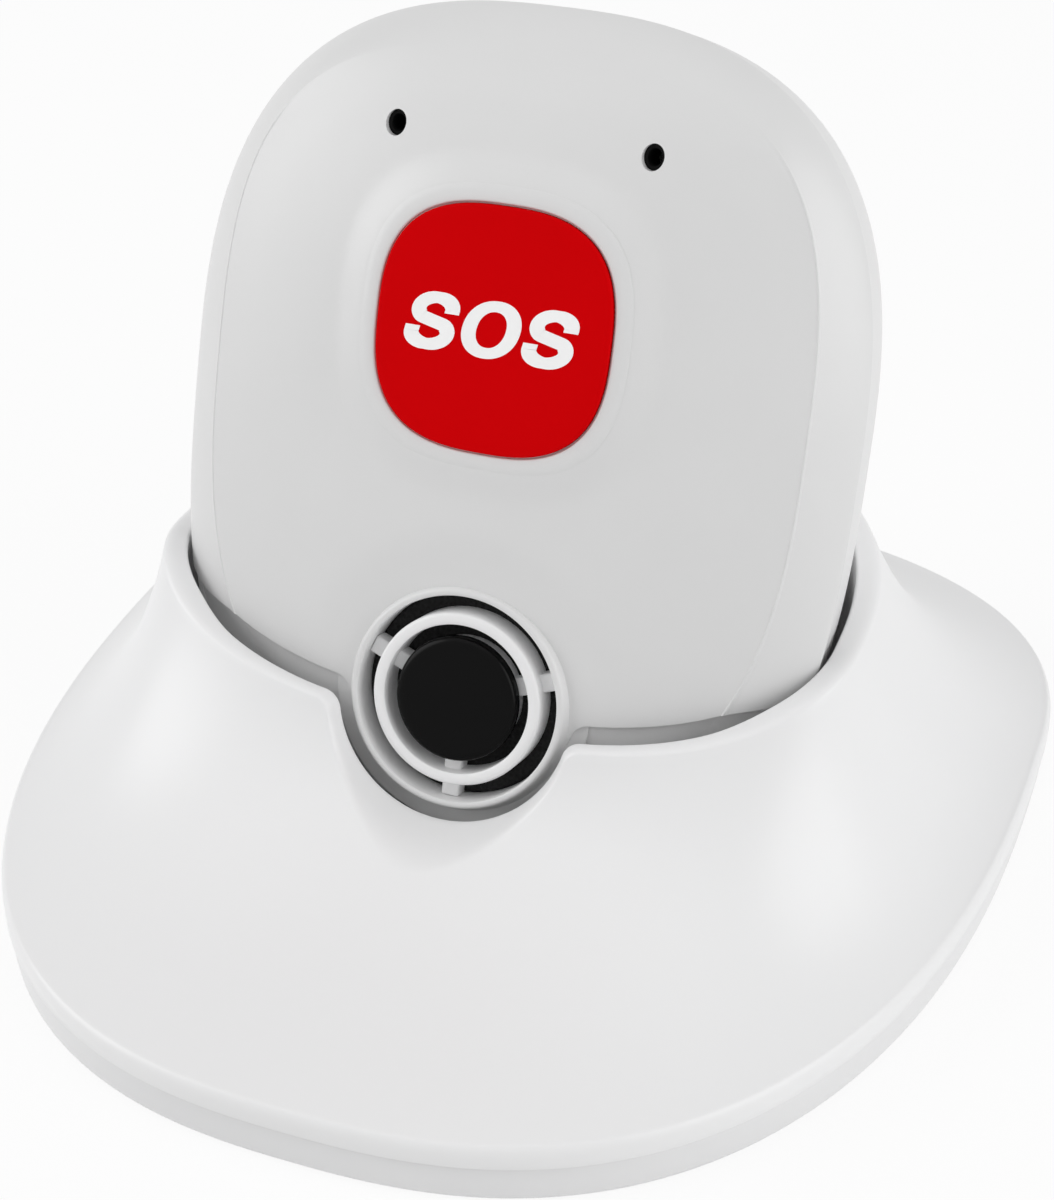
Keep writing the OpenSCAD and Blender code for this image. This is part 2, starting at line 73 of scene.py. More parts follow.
LIP_TOP = -1.3
LIP_START = 0.3
LIP_REACH = 3.2
SWELL = 0.7
SWELL_R = 13
SWELL_Z = BUTTON_Z + 4
RING_R = 6.25
BEZEL_R = 7.45
BEZEL_CUT_R = BEZEL_R + 0.4
BEZEL_DIP = 0.4
DIP_REACH = 4.5
DISC_R = 4.5
GRILLE_TOP = -0.55
PORT_R = 0.8
PORT_AT = [(-9.1, 38.9), (9.1, 38.9)]
CASE_SCREW_AT = [(-11.5, 34), (11.5, 34), (-13, 6), (13, 6)]
SCREW_SEAT = 13.5
SCREW_WELL_R = 2.1
SCREW_HOLE_R = 1.2
BITE_R = 0.92
BOSS_R = 3
BITE_BOSS_R = 2.1
BOARD_FRONT = 8.6
BOARD_BACK = 9.6
PAD_AT = [(-5, 3), (5, 3)]
PAD_HOLE_R = 1.83
PIN_HOLE_R = 1.3
BASE_W = 76.2
BASE_FRONT = 56.3
BASE_REAR = 26.8
BASE_MID = (BASE_FRONT - BASE_REAR) / 2
BASE_E = 2.5
LEAN = math.radians(19.2)
GRILLE_H = 17.4
GRILLE_Y = BASE_MID - 26.4
RIM_SIDE = 22
RIM_FRONT = RIM_SIDE - 5.6
RIM_REAR = RIM_SIDE + 7
RIM_LEAN = 0.42
LIP_W = 1.3
LIP_H = 0.45
LIP_ROUND = 0.22
SHELL_WALL = 1.9
SEAM_Z = 3.2
FLOOR_Z0 = 0.3
FLOOR_Z1 = 2
EDGE_Z = 5
NOTCH_R = 8.65
NOTCH_CORNER = 1.4
POCKET_MID = 7.5
POCKET_FRONT = POCKET_MID + 1.1
POCKET_REAR = BACK_Y + 0.95 - POCKET_MID
POCKET_DROP = (PENDANT_DROP + 0.3) / 0.97
POCKET_SIDE = HALF_W + 0.7
POCKET_FRONT_E = 2.8
POCKET_REAR_E = 4.2
POCKET_WALL = 1.7
POCKET_FLOOR = 1
WELL_Y = BASE_MID + 3.2
WELL_W = 11
WELL_WALL = 1.2
CHARGER_Z = 7.1
STAND_AT = [(-12, WELL_Y - 4.9), (12, WELL_Y - 4.9)]

QUARTER = math.pi / 2
METRES = Matrix.Scale(MM, 4)
# The pendant's own frame: origin at the grille, y into the pendant, z up its leaning face.
LEANING = Matrix.Translation((0, GRILLE_Y, GRILLE_H)) @ Matrix.Rotation(-LEAN, 4, "X")
LEANING_BACK = LEANING.inverted()


# Outlines and sections

def spow(value, power):
    return math.copysign(abs(value) ** power, value)


def mix(a, b, share):
    return a + (b - a) * share


def steps(a, b, count):
    return [mix(a, b, k / count) for k in range(count + 1)]


def eased(value):
    value = min(1.0, max(0.0, value))
    return value * value * (3 - 2 * value)


def even_turns(count, squareness):
    """Turns that space the points of a rounded square evenly."""
    angles = [2 * math.pi * k / count for k in range(count)]
    return [math.atan2(spow(math.sin(t), squareness / 2), spow(math.cos(t), squareness / 2)) for t in angles]


def pendant_edge(turn, inset, squareness):
    """Outline of the pendant in x and z at a turn from the chin."""
    side = -math.cos(turn)
    e, reach = (squareness[0], PENDANT_RISE) if side >= 0 else (squareness[1], PENDANT_DROP)
    return (HALF_W - inset) * spow(math.sin(turn), 2 / e), OUTLINE_Z + (reach - inset) * spow(side, 2 / e)


def front_e(inset):
    share = min(1, inset / CREASE)
    return mix(RISE_E, FACE_RISE_E, share), mix(DROP_E, FACE_E, share)


def dome(inset):
    """Depth of the face: a low dome that rolls off near its edge."""
    roll = max(0, 1 - (inset - CREASE) / ROLL_W)
    return DOME_EDGE - DOME * (1 - ((HALF_W - inset) / DOME_R) ** 2) + ROLL_DEPTH * roll ** 2


def rim_back(inset):
    """Depth of the rim between the crease and the parting line."""
    return mix(dome(CREASE), PARTING_Y, 1 - (max(0, inset) / CREASE) ** 0.8)


def blend(a, b, way_a, way_b, share):
    """Smooth curve between two points or numbers, with its ways at both ends."""
    t = share
    return (a * (2 * t ** 3 - 3 * t * t + 1) + b * (3 * t * t - 2 * t ** 3)
            + way_a * (t ** 3 - 2 * t * t + t) + way_b * (t ** 3 - t * t))


def front_depth(inset, turn, melted):
    """Depth of the front case. Its crease is crisp at the sides, with a fine bead, and melts away at the top."""
    melt = max(melted, eased((-math.cos(turn) - 0.6) / 0.3))
    soft = mix(CRISP_W, MELTED_W, melt)
    low, high = CREASE - soft, CREASE + soft
    if inset <= low:
        return rim_back(inset)
    if inset >= high:
        return dome(inset)
    way_low = (rim_back(low + 0.01) - rim_back(low - 0.01)) / 0.02 * (high - low)
    way_high = (dome(high + 0.01) - dome(high - 0.01)) / 0.02 * (high - low)
    bead = BEAD * (1 - melt) * math.exp(-((inset - CREASE) / CRISP_W) ** 2)
    return blend(rim_back(low), dome(high), way_low, way_high, (inset - low) / (high - low)) - bead


def rear_inset(share):
    return REAR_ROUND * (1 - (1 - min(1, max(0, share)) ** 3) ** (1 / 3))


def rear_e(share):
    return RISE_E, mix(DROP_E, BACK_E, min(1, rear_inset(share) / REAR_ROUND))


def button_edge(turn, offset):
    reach = BUTTON_W / 2 + offset
    return reach * spow(math.sin(turn), 2 / BUTTON_E), BUTTON_Z - reach * spow(math.cos(turn), 2 / BUTTON_E)


def swell(x, z, depth):
    """Depth of the face: it swells up broadly under the button and to the lip round it, and dips to the bezel."""
    depth -= SWELL * math.exp(-(x * x + (z - SWELL_Z) ** 2) / SWELL_R ** 2)
    depth += BEZEL_DIP * eased((z + 2) / 8) * (1 - eased((math.hypot(x, z) - BEZEL_R - 0.6) / DIP_REACH))
    offset = (abs(x) ** BUTTON_E + abs(z - BUTTON_Z) ** BUTTON_E) ** (1 / BUTTON_E) - BUTTON_W / 2
    return mix(depth, LIP_TOP, 1 - eased((offset - LIP_START) / LIP_REACH))


# Cradle sections

def standing(x, y, z):
    """From the pendant's frame to the cradle's."""
    return LEANING @ Vector((x, y, z))


RIM_SIDE_T = (RIM_SIDE - GRILLE_H + POCKET_MID * math.sin(LEAN)) / math.cos(LEAN)
RIM_SHARE = (OUTLINE_Z - RIM_SIDE_T) / POCKET_DROP


def pocket_half(share):
    return POCKET_SIDE * (1 - mix(0.97, RIM_SHARE, share) ** DROP_E) ** (1 / DROP_E)


def pocket_edge(turn, share, offset):
    c = math.cos(turn)
    e, reach = (POCKET_FRONT_E, POCKET_FRONT) if c > 0 else (POCKET_REAR_E, POCKET_REAR)
    return (pocket_half(share) + offset) * spow(math.sin(turn), 2 / e), POCKET_MID - (reach + offset) * spow(c, 2 / e)


def pocket_bottom(y):
    return -CHIN + rear_inset((y - 0.7 - PARTING_Y) / (BACK_Y - PARTING_Y)) - 0.3


def full_rim(turn):
    c = math.cos(turn)
    z = RIM_SIDE + (RIM_FRONT - RIM_SIDE) * max(0, c) ** 1.7 + (RIM_REAR - RIM_SIDE) * max(0, -c) ** 1.2
    return (z - GRILLE_H + pocket_edge(turn, 1, 0)[1] * math.sin(LEAN)) / math.cos(LEAN)


def turn_at(x):
    """Turn on the front half of the pocket's edge at a distance from its middle."""
    return math.asin(min(1, abs(x) / pocket_half(1)) ** (POCKET_FRONT_E / 2))


def notch_corner():
    """Middle of the round corner between the notch and the rim, and where the corner ends on the rim."""
    low, high = NOTCH_R, NOTCH_R + 5
    for _ in range(40):
        x = (low + high) / 2
        slope = (full_rim(turn_at(x + 0.05)) - full_rim(turn_at(x - 0.05))) / 0.1
        down = Vector((slope, -1)).normalized() * NOTCH_CORNER
        middle = Vector((x, full_rim(turn_at(x)))) + down
        if middle.length < NOTCH_R + NOTCH_CORNER:
            low = x
        else:
            high = x
    return middle, x


CORNER, CORNER_END = notch_corner()
CORNER_START = CORNER.x * NOTCH_R / CORNER.length


def rim(turn):
    """Height of the rim along the face, cut down by the round notch for the grille bezel."""
    if math.cos(turn) <= 0:
        return full_rim(turn)
    x = abs(pocket_edge(turn, 1, 0)[0])
    if x <= CORNER_START:
        return -math.sqrt(NOTCH_R ** 2 - x ** 2)
    if x < CORNER_END:
        return CORNER.y + math.sqrt(max(0, NOTCH_CORNER ** 2 - (x - CORNER.x) ** 2))
    return full_rim(turn)


def lean_in(turn):
    """How far the rim comes in over the pocket at the sides."""
    return RIM_LEAN * eased((abs(math.sin(turn)) - 0.6) / 0.25)


def base_edge(turn, inset, z):
    c = math.cos(turn)
    reach = (BASE_FRONT if c > 0 else BASE_REAR) - inset
    return Vector(((BASE_W / 2 - inset) * spow(math.sin(turn), 2 / BASE_E), BASE_MID - reach * spow(c, 2 / BASE_E), z))


def curve_at(q, s):
    return (1 - s) ** 3 * q[0] + 3 * s * (1 - s) ** 2 * q[1] + 3 * s * s * (1 - s) * q[2] + s ** 3 * q[3]


def curve_way(q, s):
    return (1 - s) ** 2 * (q[1] - q[0]) + 2 * s * (1 - s) * (q[2] - q[1]) + s * s * (q[3] - q[2])


def sweep_curve(turn):
    """Curve from the lip down to the foot, and the place on it where the lip ends."""
    edge = pocket_edge(turn, 1, 0)
    top = standing(*pocket_edge(turn, 1, LIP_W), full_rim(turn) - LIP_H)
    foot = base_edge(turn, 0.5, EDGE_Z)
    out = Vector((foot.x - top.x, foot.y - top.y, 0))
    down = Vector((0, 0, top.z - foot.z))
    # Steeper towards the front, and most of all just under the notch.
    front, middle = max(0, math.cos(turn)) ** 2, max(0, math.cos(turn)) ** 12
    q = [top, top + (0.26 - 0.1 * front - 0.1 * middle) * out - (0.52 + 0.08 * front + 0.18 * middle) * down,
         foot - 0.42 * out + 0.14 * down, foot]
    low, high = 0.0, 0.7
    for _ in range(16):
        place = (low + high) / 2
        p = LEANING_BACK @ curve_at(q, place)
        width = math.hypot(p.x - edge[0], p.y - edge[1])
        if p.z > rim(turn) - LIP_H - 0.5 * (width - LIP_W):
            low = place
        else:
            high = place
    return q, low


def sweep_point(turn, share, depth):
    """Point on the sweep between the lip and the foot, a depth under its surface."""
    q, start = SWEEPS[turn]
    s = mix(start, 1, share)
    p, way = curve_at(q, s), curve_way(q, s)
    flat = math.hypot(way.x, way.y)
    back = depth * way.z / way.length / flat
    return p + Vector((way.x * back, way.y * back, -depth * flat / way.length))


def pocket_point(turn, share, offset, low, high):
    """Point on the pocket's wall from its floor to its rim; with an offset, on the outside of that wall."""
    x, y = pocket_edge(turn, share, offset if offset else -lean_in(turn) * eased((share - 0.8) / 0.2))
    bottom = pocket_bottom(pocket_edge(turn, share, 0)[1])
    top = rim(turn)
    return standing(x, y, mix(bottom - low, top - min(high, 0.5 * (top - bottom)), share))


def floor_point(turn, share, offset, low):
    x, y = pocket_edge(turn, 0, offset)
    inner = mix(POCKET_MID, pocket_edge(turn, 0, 0)[1], share)
    return standing(x * share, mix(POCKET_MID, y, share), pocket_bottom(inner) - low)


def lip_point(turn, share):
    """Crisp inner edge, then a soft roll outward into the sweep."""
    x, y = pocket_edge(turn, 1, -lean_in(turn))
    outer = pocket_edge(turn, 1, 1 - lean_in(turn))
    out = LEANING.to_3x3() @ Vector((outer[0] - x, outer[1] - y, 0)).normalized()
    up = LEANING.to_3x3() @ Vector((0, 0, 1))
    crest = standing(x, y, rim(turn)) + LIP_ROUND * out
    if share <= 0.25:
        angle = share / 0.25 * math.pi / 2
        return crest - LIP_ROUND * (math.cos(angle) * out + (1 - math.sin(angle)) * up)
    end = sweep_point(turn, 0, 0)
    q, start = SWEEPS[turn]
    reach = (end - crest).length
    roll = min(reach, 2.5) * curve_way(q, start).normalized()
    return blend(crest, end, (end - crest).lerp(reach * out, min(1, 1.3 / reach)), roll, (share - 0.25) / 0.75)


notch_xs = [NOTCH_R * math.sin(t) for t in steps(0, math.asin(CORNER_START / NOTCH_R), 28)]
corner_angles = steps(math.acos((CORNER_START - CORNER.x) / NOTCH_CORNER),
                      math.acos((CORNER_END - CORNER.x) / NOTCH_CORNER), 14)[1:]
notch_turns = [turn_at(x) for x in notch_xs + [CORNER.x + NOTCH_CORNER * math.cos(a) for a in corner_angles]]
half_turns = notch_turns + steps(notch_turns[-1], math.pi, 96)[1:]
CRADLE_TURNS = half_turns + [2 * math.pi - t for t in reversed(half_turns[1:-1])]
SWEEPS = {turn: sweep_curve(turn) for turn in CRADLE_TURNS}


# Materials

def linear(code):
    parts = [int(code[k:k + 2], 16) / 255 for k in (1, 3, 5)]
    return tuple(p / 12.92 if p <= 0.04045 else ((p + 0.055) / 1.055) ** 2.4 for p in parts) + (1.0,)


def node(tree, kind, sockets=None, links=None, **settings):
    made = tree.nodes.new(kind)
    for name, value in settings.items():
        setattr(made, name, value)
    for name, value in (sockets or {}).items():
        made.inputs[name].default_value = value
    for name, source in (links or {}).items():
        tree.links.new(source, made.inputs[name])
    return made


def per_metre(size_mm):
    """Texture scale at which one cell of a pattern is as wide as a size."""
    return 1 / (size_mm * MM)


def new_tree(name):
    material = bpy.data.materials.new(name)
    material.use_nodes = True
    material.node_tree.nodes.clear()
    return material, material.node_tree


def moulded(name, dark, light, rough, grain_mm, depth_mm, cloud_mm, **extra):
    """Plastic or rubber from a tool: faint clouds in the colour, gloss that varies, a fine grain."""
    material, tree = new_tree(name)
    place = node(tree, "ShaderNodeTexCoord").outputs["Object"]
    cloud = node(tree, "ShaderNodeTexNoise", {"Scale": per_metre(cloud_mm), "Detail": 3.0}, {"Vector": place})
    ramp = node(tree, "ShaderNodeValToRGB", links={"Fac": cloud.outputs["Fac"]})
    for end, code in zip(ramp.color_ramp.elements, (dark, light)):
        end.color = linear(code)
    gloss = node(tree, "ShaderNodeMapRange", {"To Min": rough * 0.92, "To Max": rough * 1.08},
                 {"Value": cloud.outputs["Fac"]})
    grain = node(tree, "ShaderNodeTexNoise", {"Scale": per_metre(grain_mm), "Detail": 2.0}, {"Vector": place})
    bump = node(tree, "ShaderNodeBump", {"Strength": 0.5, "Distance": depth_mm * MM},
                {"Height": grain.outputs["Fac"]})
    shader = node(tree, "ShaderNodeBsdfPrincipled", extra, {"Base Color": ramp.outputs["Color"],
                  "Roughness": gloss.outputs["Result"], "Normal": bump.outputs["Normal"]})
    node(tree, "ShaderNodeOutputMaterial", links={"Surface": shader.outputs["BSDF"]})
    return material


def metal(name, dark, light, rough, streak_mm):
    """Plated or rolled metal: streaks in its colour and gloss along one way."""
    material, tree = new_tree(name)
    place = node(tree, "ShaderNodeTexCoord").outputs["Object"]
    drawn = node(tree, "ShaderNodeMapping", {"Scale": (1.0, 0.12, 1.0)}, {"Vector": place})
    streak = node(tree, "ShaderNodeTexNoise", {"Scale": per_metre(streak_mm), "Detail": 4.0},
                  {"Vector": drawn.outputs["Vector"]})
    ramp = node(tree, "ShaderNodeValToRGB", links={"Fac": streak.outputs["Fac"]})
    for end, code in zip(ramp.color_ramp.elements, (dark, light)):
        end.color = linear(code)
    gloss = node(tree, "ShaderNodeMapRange", {"To Min": rough * 0.7, "To Max": rough * 1.3},
                 {"Value": streak.outputs["Fac"]})
    shader = node(tree, "ShaderNodeBsdfPrincipled", {"Metallic": 1.0},
                  {"Base Color": ramp.outputs["Color"], "Roughness": gloss.outputs["Result"]})
    node(tree, "ShaderNodeOutputMaterial", links={"Surface": shader.outputs["BSDF"]})
    return material


def woven_cloth(name, dark, light, pitch_mm):
    """Acoustic cloth: two crossing sets of threads, dark in the holes between them."""
    material, tree = new_tree(name)
    place = node(tree, "ShaderNodeTexCoord").outputs["Object"]
    # One wave of this texture is 2 pi over 20 of a cell long at scale 1.
    scale = per_metre(pitch_mm) * 2 * math.pi / 20
    across = node(tree, "ShaderNodeTexWave", {"Scale": scale}, {"Vector": place}, bands_direction="X")
    along = node(tree, "ShaderNodeTexWave", {"Scale": scale}, {"Vector": place}, bands_direction="Z")
    thread = node(tree, "ShaderNodeMath", links={0: across.outputs["Fac"], 1: along.outputs["Fac"]},
                  operation="MAXIMUM")
    ramp = node(tree, "ShaderNodeValToRGB", links={"Fac": thread.outputs["Value"]})
    for end, code in zip(ramp.color_ramp.elements, (dark, light)):
        end.color = linear(code)
    bump = node(tree, "ShaderNodeBump", {"Strength": 0.8, "Distance": 0.08 * MM},
                {"Height": thread.outputs["Value"]})
    shader = node(tree, "ShaderNodeBsdfPrincipled", {"Roughness": 0.85},
                  {"Base Color": ramp.outputs["Color"], "Normal": bump.outputs["Normal"]})
    node(tree, "ShaderNodeOutputMaterial", links={"Surface": shader.outputs["BSDF"]})
    return material


def solder_mask(name, mask, copper, pitch_mm):
    """Printed board: lacquer over copper tracks, which stand up a little and show lighter."""
    material, tree = new_tree(name)
    place = node(tree, "ShaderNodeTexCoord").outputs["Object"]
    lacquer = linear(mask)
    track = node(tree, "ShaderNodeTexBrick", {"Color1": lacquer, "Color2": lacquer, "Mortar": linear(copper),
                 "Scale": per_metre(pitch_mm), "Mortar Size": 0.06, "Brick Width": 2.0, "Row Height": 0.8},
                 {"Vector": place})
    bump = node(tree, "ShaderNodeBump", {"Strength": 0.4, "Distance": 0.04 * MM}, {"Height": track.outputs["Fac"]})
    shader = node(tree, "ShaderNodeBsdfPrincipled", {"Roughness": 0.32, "IOR": 1.52},
                  {"Base Color": track.outputs["Color"], "Normal": bump.outputs["Normal"]})
    node(tree, "ShaderNodeOutputMaterial", links={"Surface": shader.outputs["BSDF"]})
    return material


# ABS from a polished tool: clean white with a soft sheen and almost no grain.
polished_abs = moulded("abs_white_polished", "#EBEBEC", "#F0F0F0", 0.36, 1.4, 0.003, 70, IOR=1.54)
# ABS from a spark-eroded tool: pale grey and satin. Its 0.1 mm grain is drawn at 0.3 mm so that it shows.
satin_abs = moulded("abs_pale_grey_satin", "#DADADA", "#E1E1E1", 0.36, 0.3, 0.008, 16, IOR=1.54)
# ABS from a plain tool, for the foot of the cradle: a shade greyer than the shell, even, with a soft sheen.
plain_abs = moulded("abs_white_plain", "#E2E2E3", "#E9E9E9", 0.3, 0.5, 0.005, 18, IOR=1.54)
# Red ABS, dyed through, satin, so that its colour stays flat under the light.
red_abs = moulded("abs_signal_red_satin", "#CE0004", "#D40006", 0.6, 0.3, 0.006, 8, IOR=1.54,
                  **{"Specular IOR Level": 0.02})
# Pad-printed ink: opaque white, a little uneven where the pad lifted.
white_ink = moulded("ink_white_pad_printed", "#F8F8F8", "#FFFFFF", 0.45, 0.25, 0.004, 1.5)
# Black ABS from a polished tool: deep black with a clear reflection.
black_gloss = moulded("abs_black_polished", "#030303", "#060606", 0.2, 1.0, 0.003, 6, IOR=1.54,
                      **{"Specular IOR Level": 0.08})
# Soft black rubber of the port tubes, dull and deep.
port_rubber = moulded("rubber_black_port", "#060606", "#0C0C0C", 0.7, 0.2, 0.01, 1, IOR=1.5,
                      **{"Specular IOR Level": 0.15})
# Black glass-filled nylon: dull, with fibre flow marks.
black_nylon = moulded("nylon_black_glass_filled", "#141414", "#1E1E1E", 0.5, 0.2, 0.012, 2, IOR=1.53)
# Moulded rubber: dark grey, matt, with a dusty bloom.
black_rubber = moulded("rubber_dark_grey_moulded", "#252525", "#333333", 0.75, 0.25, 0.015, 3, IOR=1.52)
# Shrink sleeve over a battery pouch: blue film with a soft gloss and faint wrinkles.
blue_sleeve = moulded("pvc_blue_shrink_sleeve", "#2F4E9E", "#3C5FB4", 0.28, 2.2, 0.05, 5, IOR=1.54)
# Pressed paper: black felt of short fibres.
paper = moulded("paper_black_pressed_pulp", "#161616", "#242424", 0.9, 0.18, 0.03, 1)
# Clear acrylic of the light guide: glassy, so that what is behind it shows.
acrylic = moulded("acrylic_clear_moulded", "#F4F4F4", "#FAFAFA", 0.08, 1.0, 0.002, 6, IOR=1.49,
                  **{"Transmission Weight": 0.85})
# Zinc-plated steel: bluish grey, with the marks of rolling.
zinc_steel = metal("steel_zinc_plated", "#A9ADB2", "#C9CCD0", 0.28, 0.4)
# Gold plate over nickel: warm and smooth.
gold_plate = metal("brass_gold_plated", "#D3A94A", "#EBC873", 0.2, 0.5)
# Tinned sheet, pressed to a can: bright grey, with long faint streaks.
tinned_sheet = metal("steel_tinned_pressed", "#B4B7BA", "#D0D2D4", 0.3, 0.6)
# Sintered magnet under nickel plate: darker and smoother than the steel.
nickel_plate = metal("magnet_nickel_plated", "#8E9194", "#ABAEB1", 0.22, 0.8)
# Polyester monofilament at 0.12 mm, drawn at 0.45 mm so that the weave shows.
speaker_cloth = woven_cloth("polyester_black_woven", "#020202", "#101010", 0.45)
# Glass-fibre board under solder mask: glossy green, lighter where the copper tracks run.
green_mask = solder_mask("board_green_solder_mask", "#14502E", "#2C7A4A", 1.6)

SLOT_FINISH = {
    "white_gloss": polished_abs, "white_matte": plain_abs, "rubber": black_rubber, "steel": zinc_steel,
    "circuit_board": green_mask, "black_plastic": black_nylon, "gold_contact": gold_plate,
    "pendant_grey": satin_abs, "red_plastic": red_abs, "battery_wrap": blue_sleeve, "cone_paper": paper,
    "magnet": nickel_plate, "black_mesh": speaker_cloth, "black_gloss": black_gloss,
    "aluminium_can": tinned_sheet, "clear_plastic": acrylic,
}


# Making pieces

def wrapped(rows, turns, point):
    """A grid wrapped round: one row of points for each entry of rows, one column for each turn."""
    bm = bmesh.new()
    bmesh.ops.create_grid(bm, x_segments=len(turns), y_segments=len(rows) - 1, size=0.5)
    for v in bm.verts:
        column = round((v.co.x + 0.5) * len(turns)) % len(turns)
        v.co = point(turns[column], rows[round((v.co.y + 0.5) * (len(rows) - 1))])
    bmesh.ops.remove_doubles(bm, verts=bm.verts, dist=0.0005)
    bmesh.ops.recalc_face_normals(bm, faces=bm.faces)
    return bm


def turned(profile, count=96):
    """A profile of radius and depth turned about the grille's axis."""
    bm = bmesh.new()
    points = [bm.verts.new((r, y, 0)) for r, y in profile]
    sides = [bm.edges.new(pair) for pair in zip(points, points[1:] + points[:1])]
    bmesh.ops.spin(bm, geom=points + sides, cent=(0, 0, 0), axis=(0, 1, 0), angle=2 * math.pi, steps=count,
                   use_merge=True)
    bmesh.ops.remove_doubles(bm, verts=bm.verts, dist=0.0005)
    bmesh.ops.dissolve_degenerate(bm, edges=bm.edges, dist=0.0002)
    bmesh.ops.recalc_face_normals(bm, faces=bm.faces)
    return bm


def rounded(bm, width, angle=40, segments=3):
    """Rounds the edges that turn by more than an angle."""
    sharp = [e for e in bm.edges if len(e.link_faces) == 2 and e.calc_face_angle() > math.radians(angle)]
    bmesh.ops.bevel(bm, geom=sharp, offset=width, offset_type="OFFSET", affect="EDGES", segments=segments,
                    profile=0.5, material=-1, clamp_overlap=True)
    return bm


def bar(radius, length, place, count=48):
    """A plain round bar about the middle of a place, for cutters and stands."""
    bm = bmesh.new()
    bmesh.ops.create_cone(bm, cap_ends=True, segments=count, radius1=radius, radius2=radius, depth=length, matrix=place)
    return bm


def rod(radius, y0, y1, at=(0, 0), count=48):
    """A bar along the grille's axis."""
    lying = Matrix.Translation((at[0], (y0 + y1) / 2, at[1])) @ Matrix.Rotation(QUARTER, 4, "X")
    return bar(radius, y1 - y0, lying, count)


def post(radius, z0, z1, at):
    """An upright bar."""
    return bar(radius, z1 - z0, Matrix.Translation((at[0], at[1], (z0 + z1) / 2)))


def block(low, high):
    """A plain block between two corners."""
    bm = bmesh.new()
    low, high = Vector(low), Vector(high)
    place = Matrix.Translation((low + high) / 2) @ Matrix.Diagonal((*(high - low), 1))
    bmesh.ops.create_cube(bm, size=1, matrix=place)
    return bm


def joined(parts):
    """Several bmeshes in one."""
    whole = parts[0]
    for part in parts[1:]:
        mesh = bpy.data.meshes.new("part")
        part.to_mesh(mesh)
        part.free()
        whole.from_mesh(mesh)
        bpy.data.meshes.remove(mesh)
    return whole


def placed(bm, name, matrix):
    """An object at the origin, in metres, with the place of the bmesh in its mesh."""
    bmesh.ops.transform(bm, matrix=METRES @ matrix, verts=bm.verts)
    mesh = bpy.data.meshes.new(name)
    bm.to_mesh(mesh)
    bm.free()
    piece = bpy.data.objects.new(name, mesh)
    bpy.context.scene.collection.objects.link(piece)
    return piece


def evaluated(piece):
    """The piece's mesh with its modifiers worked in."""
    graph = bpy.context.evaluated_depsgraph_get()
    graph.update()
    return bpy.data.meshes.new_from_object(piece.evaluated_get(graph), depsgraph=graph)


def make(bm, name, body, slot, matrix, nodes=(), cutters=(), smooth=38):
    """Places a piece, cuts it, shades it and fixes it to its body."""
    piece = placed(bm, name, matrix)
    tools = [placed(cutter, name + "_cutter", matrix) for cutter in cutters]
    for tool in tools:
        cut = piece.modifiers.new("cut", "BOOLEAN")
        cut.operation = "DIFFERENCE"
        cut.solver = "EXACT"
        cut.object = tool
    if tools:
        mesh = evaluated(piece)
        piece.modifiers.clear()
        piece.data = mesh
    for tool in tools:
        bpy.data.objects.remove(tool)
    piece.data.materials.clear()
    piece.data.materials.append(SLOT_FINISH[slot])
    piece.data.shade_smooth()
    piece.data.set_sharp_from_angle(angle=math.radians(smooth))
    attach(piece, body)
    if nodes:
        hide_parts(*nodes)
    return piece


# Pendant

PENDANT_TURNS = even_turns(224, 2.8)


def case_point(turn, row):
    x, z = pendant_edge(turn, row[0], row[2])
    return Vector((x, row[1], z))


def front_point(turn, row):
    """Point of the front case at an inset, moved in from the outside by a wall."""
    inset, wall = row
    x, z = pendant_edge(turn, inset + wall, front_e(inset))
    depth = front_depth(inset, turn, 0 if wall == 0 else 1)
    share = eased((inset - CREASE - 0.3) / 3)
    return Vector((x, min(PARTING_Y, mix(depth, swell(x, z, depth), share) + wall), z))


face_insets = steps(HALF_W, 5.4, 46) + steps(5.4, CREASE + 0.3, 13)[1:]
face_insets += [CREASE + d for d in (0.2, 0.15, 0.11, 0.08, 0.05, 0.025, 0, -0.025, -0.05, -0.08, -0.11, -0.15, -0.2)]
face_insets += steps(CREASE - 0.3, 0.9, 13) + [CREASE * (1 - f) ** 1.25 for f in steps(0.66, 0.985, 9)]


def wall_rows(wall):
    """Rows from the middle of the face to the parting line, a wall in from the outside."""
    last = CREASE * (1 - (PARTING_Y - wall - dome(CREASE)) / (PARTING_Y - dome(CREASE))) ** 1.25
    return [(d, wall) for d in face_insets if d > last + 0.02 and d + wall <= HALF_W] + [(last, wall)]


def front_case(outer_wall, inner_wall):
    """Front case between two walls measured in from the outside."""
    outer, inner = wall_rows(outer_wall), wall_rows(inner_wall)
    middle = [(HALF_W - outer_wall, outer_wall)], [(HALF_W - inner_wall, inner_wall)]
    return wrapped(middle[0] + outer + inner[::-3] + middle[1], PENDANT_TURNS, front_point)


def collar_line(x):
    """Height on the face where the front case steps in: just above the collar, and behind it at the sides."""
    return rim(turn_at(x)) + mix(0.85, -0.5, eased((abs(x) - 18) / 6))


def part_across(far, shift):
    """Everything between the step and a height, as a cutter."""
    bm = bmesh.new()
    xs = [c * 26 for c in steps(-1, 1, 360)]
    bmesh.ops.create_grid(bm, x_segments=len(xs) - 1, y_segments=1, size=0.5)
    for v in bm.verts:
        x = xs[round((v.co.x + 0.5) * (len(xs) - 1))]
        v.co = Vector((x, -8, collar_line(x) + shift if v.co.y > 0 else far))
    pulled = bmesh.ops.extrude_face_region(bm, geom=bm.faces[:])["geom"]
    bmesh.ops.translate(bm, verts=[v for v in pulled if isinstance(v, bmesh.types.BMVert)], vec=(0, 16, 0))
    bmesh.ops.recalc_face_normals(bm, faces=bm.faces)
    return bm


